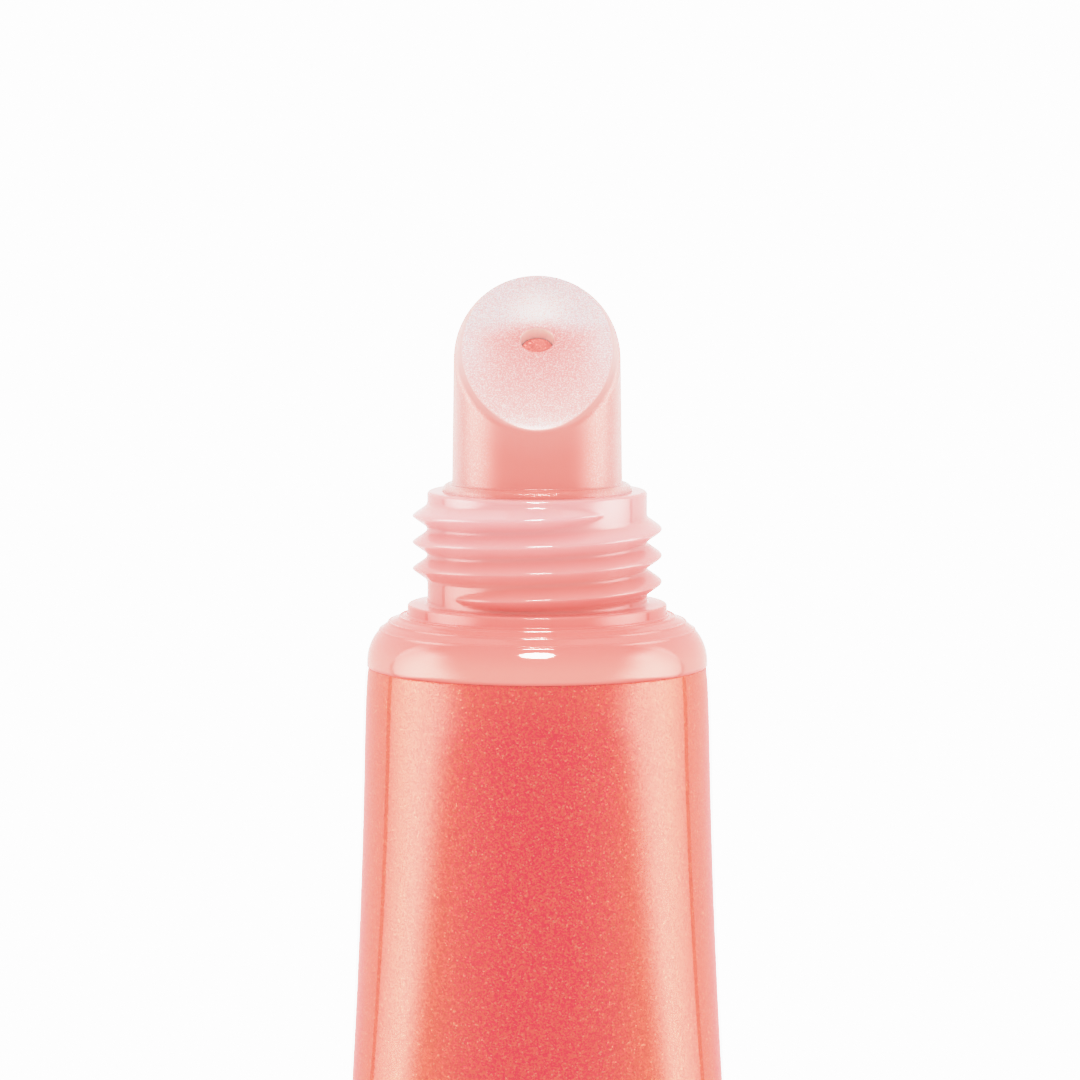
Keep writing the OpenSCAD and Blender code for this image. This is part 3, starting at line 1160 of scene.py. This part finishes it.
@dataclass
class Tip(Assembly):
    """The slanted applicator tip."""

    neck_top: float = 85.74
    foot: float = 4.72
    crown: float = 4.54
    ring: float = 5.25
    ring_height: float = 0.43
    ring_round: float = 0.38
    foot_fillet: float = 0.14
    face_low: float = 89.5
    slope: float = 40.9
    face_wall: float = 1.1
    bore: float = 3.7
    hole_y: float = 0.6
    plug: float = 3.2
    plug_r: float = 4.86
    plug_bore: float = 4.05
    hole_r: float = 0.925
    hole_round: float = 0.2
    edge: float = 0.36
    top: float = 98.0

    def __post_init__(self) -> None:
        """Works out the slanted plane."""
        lean = math.radians(self.slope)
        self.face_normal = Vector((0, -math.sin(lean), math.cos(lean)))
        self.face_point = Vector((0, -self.foot, self.face_low)) * MM
        rise = (self.hole_y + self.foot) * math.tan(lean)
        self.hole_point = Vector((0, self.hole_y, self.face_low + rise)) * MM

    def lean(self, piece: bpy.types.Object) -> None:
        """Sets a piece that was turned about the axis into the face, at the hole."""
        turn = Matrix.Rotation(math.radians(self.slope), 4, "X")
        piece.data.transform(Matrix.Translation(self.hole_point) @ turn)

    def build(self) -> None:
        """The tip: turned, cut on the slant, its edge rolled, then hollowed and drilled."""
        plug_low = self.neck_top - self.plug
        ring_top = self.neck_top + self.ring_height
        profile = [(0.0, plug_low), (4.76, plug_low)]
        profile += [(self.plug_r, plug_low + 0.1), (self.plug_r, self.neck_top - 0.005)]
        profile += [(self.ring, self.neck_top - 0.005)]
        profile += arc((self.ring - self.ring_round, ring_top - self.ring_round), self.ring_round, 0, 90, 8)
        profile += arc((self.foot + self.foot_fillet, ring_top + self.foot_fillet), self.foot_fillet, 270, 180, 4)
        profile += [(self.crown, self.top + 1.2), (0.0, self.top + 1.2)]
        piece = lathe("applicator", profile, closed=False)
        with editing(piece):
            slice_off(self.face_point, self.face_normal)
            select_faces(piece, lambda face: face.normal.dot(self.face_normal) > 0.999 and len(face.verts) > 20)
            bpy.ops.mesh.region_to_loop()
            bpy.ops.mesh.bevel(offset=self.edge * MM, segments=7, profile=0.5, affect="EDGES", clamp_overlap=False)
        inside = [(0, plug_low - 1), (self.plug_bore, plug_low - 1), (self.plug_bore, plug_low + 0.5)]
        inside += [(self.bore, plug_low + 1.2), (self.bore, self.top + 2), (0, self.top + 2)]
        hollow = lathe("hollow", inside, closed=False)
        with editing(hollow):
            under = self.face_point - self.face_normal * self.face_wall * MM
            slice_off(under, self.face_normal)
        combine(piece, hollow, Blend.CUT)
        mouth = [(0.0, -2.5), (self.hole_r, -2.5), (self.hole_r, -self.hole_round)]
        mouth += [*arc((1.125, -self.hole_round), self.hole_round, 180, 100, 6), (1.3, 0.6), (0.0, 0.6)]
        drill = lathe("drill", mouth, closed=False, steps=64)
        self.lean(drill)
        combine(piece, drill, Blend.CUT)
        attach(piece, Body.TUBE.value)
        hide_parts("applicator_tip")
        finish = FrostedTip(face_point=self.face_point, face_normal=self.face_normal, hole_point=self.hole_point)
        self.dress(piece, finish, 30.0)


@dataclass
class Cap(Assembly):
    """The cap's shell, threaded liner and seal, lifted off the tube."""

    low: float = 115.275
    radius: float = 9.4
    height: float = 24.0
    wall: float = 1.2
    bore: float = 7.12
    chamber: float = 5.32
    crown: float = 0.9
    rib_count: int = 6
    rib_width: float = 0.8
    seal_height: float = 0.85
    seal_out: float = 6.9
    seal_bore: float = 5.45
    closed_low: float = 78.65
    closed_seal: float = 85.79
    thread_level: float = 76 + 4.14 + 0.7325

    def shell(self) -> None:
        """The outer shell, crowned at its corner and eased at its lower edge."""
        top, inner = self.low + self.height, self.radius - self.wall
        profile = arc((self.radius - 0.15, self.low + 0.15), 0.15, -90, 0, 4)
        profile += [(self.radius, self.low + 12.0)]
        profile += arc((self.radius - self.crown, top - self.crown), self.crown, 0, 90, 10)
        profile += [(4.0, top), (0.0, top), (0.0, top - self.wall)]
        profile += arc((inner - 0.4, top - self.wall - 0.4), 0.4, 90, 0, 4)
        profile += arc((inner + 0.12, self.low + 0.12), 0.12, 180, 270, 3)
        piece = lathe("cap_outer", profile, closed=True)
        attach(piece, Body.CAP.value)
        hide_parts("cap_shell")
        self.dress(piece, CapPlastic(), 30.0)

    def liner(self) -> None:
        """The liner: threaded skirt, seat for the seal, ribbed chamber over the tip."""
        shift = self.low - self.closed_low
        low, seal_low = 79.75 + shift, self.closed_seal + shift
        skirt_top, chamber_top = seal_low + 2.05, 98.5 + shift
        out, tube = self.radius - self.wall - 0.02, self.chamber + 0.95
        wall_low, wall_high = low + 0.25, seal_low - 0.4
        profile = [(self.bore, wall_high), *arc((6.82, seal_low - 0.2), 0.08, 200, 110, 4)]
        profile += [(6.98, seal_low - 0.06), (6.98, seal_low + 0.9), (self.chamber, seal_low + 0.9)]
        profile.append((self.chamber, chamber_top - 0.5))
        profile += arc((self.chamber - 0.5, chamber_top - 0.5), 0.5, 0, 90, 4)[1:]
        profile += [(0.0, chamber_top), (0.0, chamber_top + 1.0)]
        profile += arc((tube - 0.4, chamber_top + 0.6), 0.4, 90, 0, 4)
        profile += [(tube, skirt_top + 0.3), *arc((tube + 0.3, skirt_top + 0.3), 0.3, 180, 270, 4)[1:]]
        profile += arc((out - 0.2, skirt_top - 0.2), 0.2, 90, 0, 4)
        profile += [(out, low + 0.2), (out - 0.2, low), (self.bore + 0.25, low), (self.bore, wall_low)]
        piece = lathe("cap_inner", profile, closed=False)
        start = self.thread_level + shift
        thread = Thread(start, start_angle=224.0, turns=2.2, rise=0.65, half_width=0.36, run_out=36.0)
        join(piece, thread.wall("liner_thread", self.bore, wall_low, wall_high, inwards=True))
        for turn in range(self.rib_count):
            deselect_all()
            bpy.ops.mesh.primitive_cube_add(size=1, location=(0, 0, 0))
            rib = bpy.context.object
            angle = math.radians(360 / self.rib_count * turn)
            rib.scale = ((out - tube + 0.3) * MM, self.rib_width * MM, (chamber_top + 0.4 - skirt_top + 0.6) * MM)
            middle = Vector(((out + tube - 0.4) / 2, 0, (chamber_top + 0.4 + skirt_top - 0.6) / 2)) * MM
            rib.location = Matrix.Rotation(angle, 3, "Z") @ middle
            rib.rotation_euler = (0, 0, angle)
            bpy.ops.object.transform_apply(location=True, rotation=True, scale=True)
            with editing(rib):
                bpy.ops.mesh.bevel(offset=0.12 * MM, segments=2, affect="EDGES")
            combine(piece, rib, Blend.ADD)
        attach(piece, Body.CAP.value)
        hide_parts("cap_liner")
        self.dress(piece, LinerPlastic(), 40.0)

    def seal(self) -> None:
        """The soft ring, its corners eased."""
        low = self.closed_seal + self.low - self.closed_low
        high, ease = low + self.seal_height, 0.15
        out, inner = self.seal_out - ease, self.seal_bore + ease
        profile = arc((out, low + ease), ease, -90, 0, 4) + arc((out, high - ease), ease, 0, 90, 4)
        profile += arc((inner, high - ease), ease, 90, 180, 4) + arc((inner, low + ease), ease, 180, 270, 4)
        piece = lathe("cap_seal_ring", profile, closed=True)
        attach(piece, Body.SEAL.value)
        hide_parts("cap_seal")
        self.dress(piece, SealFoam())


# ---------------------------------------------------------------- the studio


@dataclass
class Studio:
    """Camera, floor and soft light."""

    aim: Vector
    distance: float = 376.7
    elevation: float = 5.93
    lens: float = 226.7
    floor_size: float = 6.0
    floor_level: float = -0.5 * MM
    window_size: Point = (0.2, 0.16)
    window_lean: float = 56.0
    window_distance: float = 0.6
    window_middle: float = 0.08
    window_energy: float = 3.4
    surround: float = 3.2
    box_light: float = 5.6
    back_edge: float = 0.468
    white_level: float = 4.0

    def camera(self) -> None:
        """A long lens, slightly above."""
        lean = math.radians(self.elevation)
        back = Vector((0, -math.cos(lean), math.sin(lean)))
        data = bpy.data.cameras.new("camera")
        data.lens, data.sensor_width = self.lens, 36.0
        data.clip_start, data.clip_end = 0.01, 20.0
        made = bpy.data.objects.new("camera", data)
        bpy.context.scene.collection.objects.link(made)
        made.location = self.aim + back * self.distance * MM
        made.rotation_mode = "QUATERNION"
        made.rotation_quaternion = (-back).to_track_quat("-Z", "Y")
        bpy.context.scene.camera = made

    def floor(self) -> None:
        """A plain white floor under the tube."""
        deselect_all()
        bpy.ops.mesh.primitive_plane_add(size=self.floor_size, location=(0, 0, self.floor_level))
        floor = bpy.context.object
        floor.name = "floor"
        floor.visible_glossy = False
        floor.data.materials.append(FloorPaper().build())

    def window(self) -> None:
        """The small bright window above the front, which makes the glints."""
        data = bpy.data.lights.new("window", "AREA")
        data.shape, (data.size, data.size_y) = "ELLIPSE", self.window_size
        data.energy = self.window_energy
        made = bpy.data.objects.new("window", data)
        bpy.context.scene.collection.objects.link(made)
        lean = math.radians(self.window_lean)
        way = Vector((0, -math.cos(lean), math.sin(lean)))
        made.location = Vector((0, 0, self.window_middle)) + way * self.window_distance
        made.rotation_mode = "QUATERNION"
        made.rotation_quaternion = way.to_track_quat("Z", "Y")
        made.visible_camera = made.visible_diffuse = made.visible_transmission = False

    def sky(self) -> None:
        """White surround, with tall soft boxes at both sides for what is reflected."""
        world = bpy.data.worlds.new("studio")
        bpy.context.scene.world = world
        world.use_nodes = True
        world.cycles.sampling_method = "NONE"
        shader = Shader(world.node_tree)
        way = shader.node("ShaderNodeTexCoord").outputs["Generated"]
        _, y, z = shader.parts(way)
        level = (1.0 - z * z).high(1e-4).root()
        back = y / level
        backdrop = (y - self.back_edge * level.low(1.0 - z)).step(0.0, 0.015)
        falling = 1.0 - 0.85 * ((back + 0.05) / 0.53).high(0.0) ** 1.3
        near = (back + 2.7 * (z.low(-0.1) + 0.17) - 0.45 * z.high(0.0)).step(-0.56, -0.08)
        box = near * (1.0 - back.step(0.4, 0.41)) * (1.0 - z.size().step(0.5, 0.72))
        mirrored = 0.1 + backdrop + box * falling * self.box_light
        soft = 1.0 + 0.28 * z.step(0.0, 0.9) + 0.1 * y.step(0.0, 0.9)
        path = shader.node("ShaderNodeLightPath")
        seen = Value(shader, path.outputs["Is Camera Ray"])
        scattered = Value(shader, path.outputs["Diffuse Depth"]).low(1.0)
        strength = seen * self.surround + (1.0 - seen) * (scattered * soft + (1.0 - scattered) * mirrored)
        lit = shader.node("ShaderNodeBackground", inputs={"Color": (1.0, 1.0, 1.0), "Strength": strength})
        shader.node("ShaderNodeOutputWorld", inputs={"Surface": lit.outputs[0]})

    def film(self) -> None:
        """A gentle shoulder, so that bright tones ease into white."""
        view = bpy.context.scene.view_settings
        view.view_transform = "Standard"
        view.use_curve_mapping = True
        mapping = view.curve_mapping
        top = self.white_level
        mapping.white_level = (top, top, top)
        curve = mapping.curves[3]
        tones = [(0.0, 0.0), (0.35, 0.35), (0.7, 0.69), (0.85, 0.81), (1.0, 0.87)]
        tones += [(1.2, 0.91), (1.6, 0.945), (2.2, 0.967), (3.0, 0.981), (top, 0.984)]
        while len(curve.points) < len(tones):
            curve.points.new(0.5, 0.5)
        for point, (light, tone) in zip(curve.points, tones):
            point.location = (light / top, tone)
            point.handle_type = "VECTOR" if light < 0.8 else "AUTO"
        mapping.update()

    def build(self) -> None:
        """Sets the whole studio."""
        self.camera()
        self.floor()
        self.window()
        self.sky()
        self.film()


def main() -> None:
    """Builds the tube piece by piece, then the studio."""
    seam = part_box("tube_sleeve")[1].z / MM
    shape = Flattening(seam=seam)
    tip = Tip()
    sleeve, head = Sleeve(seam=seam), Head(seam=seam)
    cap = Cap(low=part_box("cap_shell")[0].z / MM)
    sleeve.build(shape)
    sleeve.fill(shape, tip)
    head.build()
    tip.build()
    cap.shell()
    cap.liner()
    cap.seal()
    Studio(aim=Vector((0.155, 0.0, 82.98)) * MM).build()


if __name__ == "__main__":
    main()
